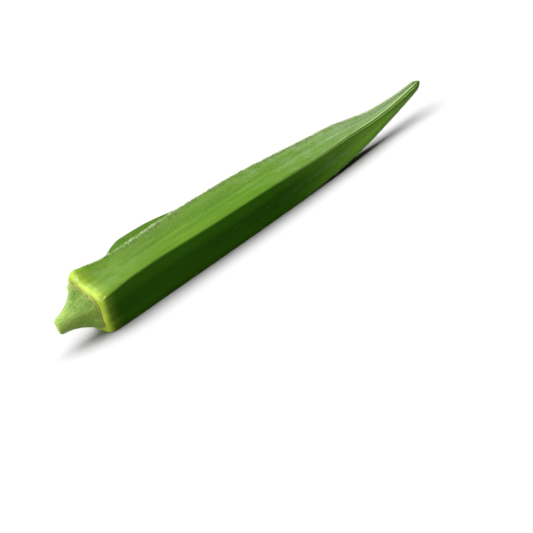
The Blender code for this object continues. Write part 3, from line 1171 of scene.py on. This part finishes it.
class OKRA_OT_down(bpy.types.Operator):
    """Grow the fine hairs on the ridges, the faces and the stem cap"""

    bl_idname = "okra.down"
    bl_label = "Down"

    def execute(self, context):
        down = context.scene.okra_down
        rng = np.random.default_rng(HAIR_SEED)
        finish = hair_finish(down.colour)
        for name, slot, surface, sow in (
            ("ridge_down", "pod_skin", pod_surface, sow_ridges),
            ("face_down", "pod_skin", pod_surface, sow_faces),
            ("cap_down", "stem_cap_skin", cap_surface, sow_cap),
        ):
            hairs = rooted_hairs(surface, *sow(down, rng))
            piece = grow_hairs(name, *hairs, down.thickness, finish)
        return {"FINISHED"}


class OKRA_OT_studio(bpy.types.Operator):
    """Set out the floor, the soft lights and the camera"""

    bl_idname = "okra.studio"
    bl_label = "Studio"

    def execute(self, context):
        self.floor()
        self.backdrop()
        self.lights(context.scene)
        self.camera(context.scene)
        return {"FINISHED"}

    def floor(self):
        """A wide pale surface under the pod."""
        half = 6.0
        height = -0.03 * MM
        corners = [(x * half, y * half, height) for x, y in ((-1, -1), (1, -1), (1, 1), (-1, 1))]
        self.sheet("studio_floor", corners, [(0, 1, 2, 3)], floor_finish())

    def backdrop(self):
        """A pale wall far behind everything, which gives no light of its own to the pod."""
        radius = 5.0
        foot = -0.1
        top = 3.0
        sides = 64
        corners = []
        for z in (foot, top):
            for side in range(sides):
                turn = side * math.tau / sides
                corners.append((radius * math.cos(turn), radius * math.sin(turn), z))
        wall = self.sheet("studio_wall", corners, tube_faces(2, sides), wall_finish())
        wall.visible_diffuse = False
        wall.visible_glossy = False
        wall.visible_transmission = False
        wall.visible_shadow = False

    def sheet(self, name, corners, faces, material):
        """One surface of the studio, which isn't part of the pod."""
        mesh = bpy.data.meshes.new(name)
        mesh.from_pydata(corners, [], faces)
        mesh.materials.append(material)
        sheet = bpy.data.objects.new(name, mesh)
        bpy.context.collection.objects.link(sheet)
        return sheet

    def lights(self, scene):
        """A large soft sky overhead, a weak light at the stalk's side and dim room light."""
        for name, towards, spread, power in SKY_LIGHTS:
            light = bpy.data.lights.new(name, "SUN")
            light.angle = math.radians(spread)
            light.energy = power
            lamp = bpy.data.objects.new(name, light)
            lamp.location = towards
            lamp.rotation_mode = "QUATERNION"
            lamp.rotation_quaternion = (-Vector(towards)).to_track_quat("-Z", "Y")
            bpy.context.collection.objects.link(lamp)
        world = bpy.data.worlds.new("studio_room")
        world.use_nodes = True
        room = world.node_tree.nodes["Background"]
        room.inputs["Color"].default_value = (1.0, 1.0, 1.0, 1.0)
        room.inputs["Strength"].default_value = ROOM_LIGHT
        scene.world = world
        scene.view_settings.view_transform = "Standard"

    def camera(self, scene):
        """A long lens that looks along the pod from the stalk's side, tilted with it."""
        tip_away = math.radians(26.5)
        above = math.radians(19.0)
        slope = math.radians(34.9)
        distance = 1.0
        sensor = 36.0
        frame_width = 131.5 * MM
        right_of_seam = 44.2 * MM
        above_seam = 9.8 * MM

        back = Vector((
            -math.sin(tip_away),
            -math.cos(tip_away) * math.cos(above),
            math.cos(tip_away) * math.sin(above),
        ))
        pod_way = Vector((1.0, 0.0, 0.0))
        along = (pod_way - pod_way.dot(back) * back).normalized()
        across = back.cross(along)
        right = along * math.cos(slope) - across * math.sin(slope)
        up = along * math.sin(slope) + across * math.cos(slope)
        seam = Vector(axis_point(np.array([0.0]))[0])
        target = seam + right * right_of_seam + up * above_seam

        lens = bpy.data.cameras.new("camera")
        lens.sensor_width = sensor
        lens.lens = sensor * distance / frame_width
        lens.clip_start = 0.05
        lens.clip_end = 30.0
        camera = bpy.data.objects.new("camera", lens)
        turn = Matrix((right, up, back)).transposed().to_4x4()
        camera.matrix_world = Matrix.Translation(target + back * distance) @ turn
        bpy.context.collection.objects.link(camera)
        scene.camera = camera


# -------- panel


class OKRA_PT_panel(bpy.types.Panel):
    """Settings and steps of the okra pod"""

    bl_idname = "OKRA_PT_panel"
    bl_label = "Okra Pod"
    bl_space_type = "VIEW_3D"
    bl_region_type = "UI"
    bl_category = "Okra"

    def draw(self, context):
        layout = self.layout
        for settings in SETTINGS:
            group = getattr(context.scene, settings)
            box = layout.box()
            for name in group.__annotations__:
                box.prop(group, name)
        for operator in OPERATORS:
            layout.operator(operator.bl_idname)


SETTINGS = {
    "okra_skin": OkraSkinSettings,
    "okra_cap": OkraCapSettings,
    "okra_down": OkraDownSettings,
}
OPERATORS = (OKRA_OT_pod_skin, OKRA_OT_stem_cap, OKRA_OT_down, OKRA_OT_studio)
CLASSES = (*SETTINGS.values(), *OPERATORS, OKRA_PT_panel)


def register():
    """Make the settings, the operators and the panel known to Blender."""
    for cls in CLASSES:
        bpy.utils.register_class(cls)
    for name, group in SETTINGS.items():
        setattr(bpy.types.Scene, name, bpy.props.PointerProperty(type=group))


def unregister():
    """Take the settings, the operators and the panel away again."""
    for name in SETTINGS:
        delattr(bpy.types.Scene, name)
    for cls in reversed(CLASSES):
        bpy.utils.unregister_class(cls)


def main():
    """Build the pod step by step."""
    register()
    bpy.ops.okra.pod_skin()
    bpy.ops.okra.stem_cap()
    bpy.ops.okra.down()
    bpy.ops.okra.studio()


if __name__ == "__main__":
    main()
